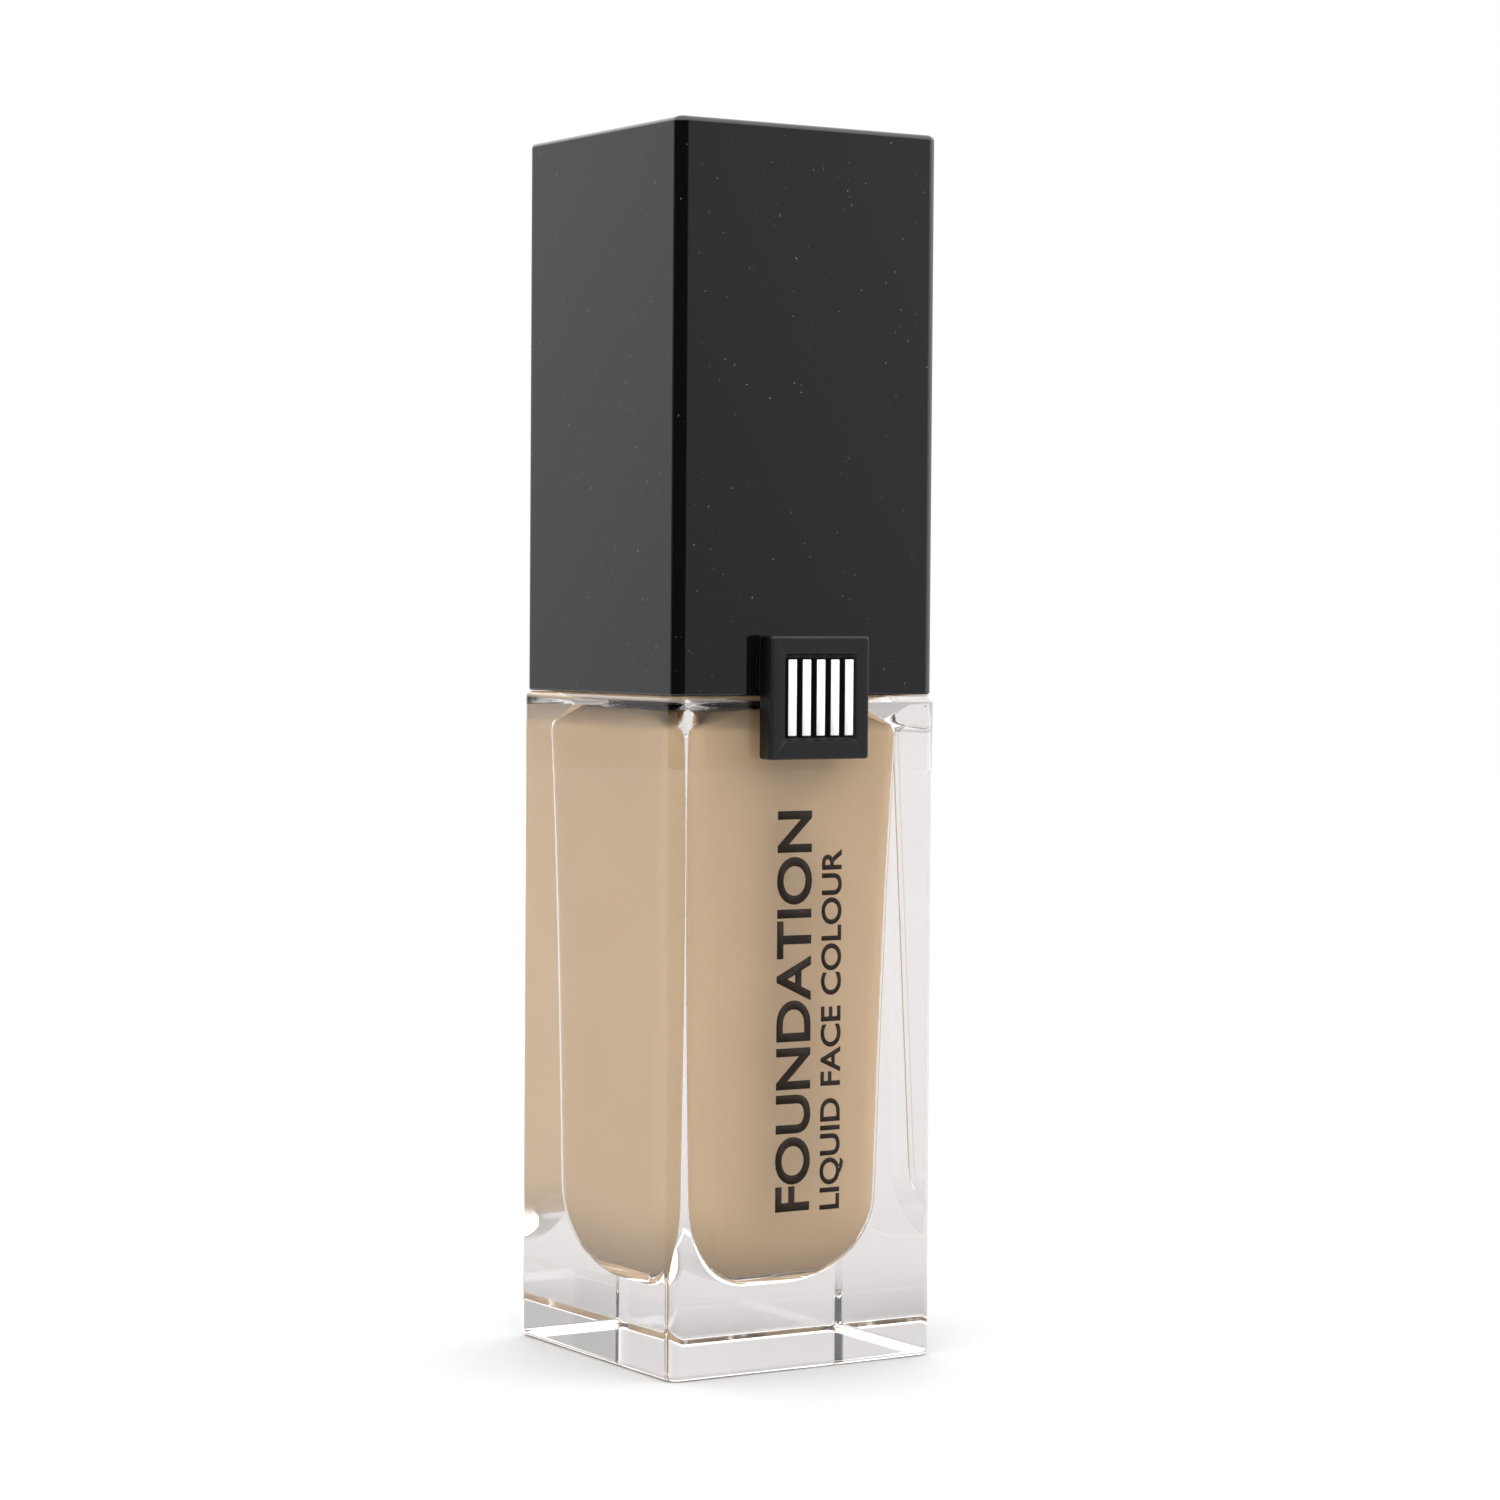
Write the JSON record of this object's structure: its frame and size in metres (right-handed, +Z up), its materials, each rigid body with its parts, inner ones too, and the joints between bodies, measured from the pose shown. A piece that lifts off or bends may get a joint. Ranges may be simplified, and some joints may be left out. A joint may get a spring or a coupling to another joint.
{
  "type": "foundation bottle",
  "caption": "Square thick-walled clear glass foundation bottle with a rounded inner chamber, treatment pump and tall square gloss cap that carries a small front badge.",
  "frame": {"origin": "centre of the glass bottle's flat bottom", "axes": "+Z up along the bottle, -Y towards the front face with the badge, +X to the right seen from the front"},
  "size_m": [0.031, 0.0332, 0.1234],
  "materials": {
    "clear_glass": "polished clear flint glass",
    "makeup": "opaque beige liquid make-up",
    "gasket_rubber": "soft matte",
    "clear_plastic": "translucent moulded",
    "white_plastic": "moulded white",
    "liner_plastic": "moulded black",
    "spring_steel": "bright stainless",
    "gloss_black": "polished black",
    "cap_black": "mirror-gloss black lacquer",
    "satin_black": "satin black"
  },
  "bodies": {
    "bottle": {"glass_bottle": "clear_glass", "foundation_fill": "makeup", "neck_gasket": "gasket_rubber", "pump_housing": "clear_plastic", "stem_guide": "white_plastic", "closure_ring": "white_plastic", "pump_collar": "gloss_black", "ball_retainer": "white_plastic", "dip_tube": "clear_plastic"},
    "plunger": {"valve_pin": "white_plastic", "return_spring": "spring_steel"},
    "piston": {"piston": "white_plastic"},
    "push_head": {"stem": "white_plastic", "actuator_core": "satin_black", "actuator_cover": "gloss_black", "nozzle_insert": "gloss_black"},
    "inlet_valve": {"inlet_ball": "spring_steel"},
    "cap": {"cap_shell": "cap_black", "cap_liner": "liner_plastic", "badge_plate": "satin_black"}
  },
  "joints": [
    {"name": "cap_lift", "type": "slide", "parent": "bottle", "child": "cap", "axis": [0, 0, 1], "range_m": [0, 0.045]},
    {"name": "pump_press", "type": "slide", "parent": "bottle", "child": "plunger", "axis": [0, 0, -1], "range_m": [0, 0.004], "stiffness_N_per_m": 400, "springref_m": -0.005, "deforming": ["return_spring"]},
    {"name": "actuator_turn", "type": "hinge", "parent": "plunger", "child": "push_head", "pos_m": [0, 0, 0.0928], "axis": [0, 0, 1], "continuous": true},
    {"name": "piston_lag", "type": "slide", "parent": "plunger", "child": "piston", "axis": [0, 0, 1], "range_m": [0, 0.0006]},
    {"name": "inlet_ball_lift", "type": "slide", "parent": "bottle", "child": "inlet_valve", "axis": [0, 0, 1], "range_m": [0, 0.0008]}
  ]
}
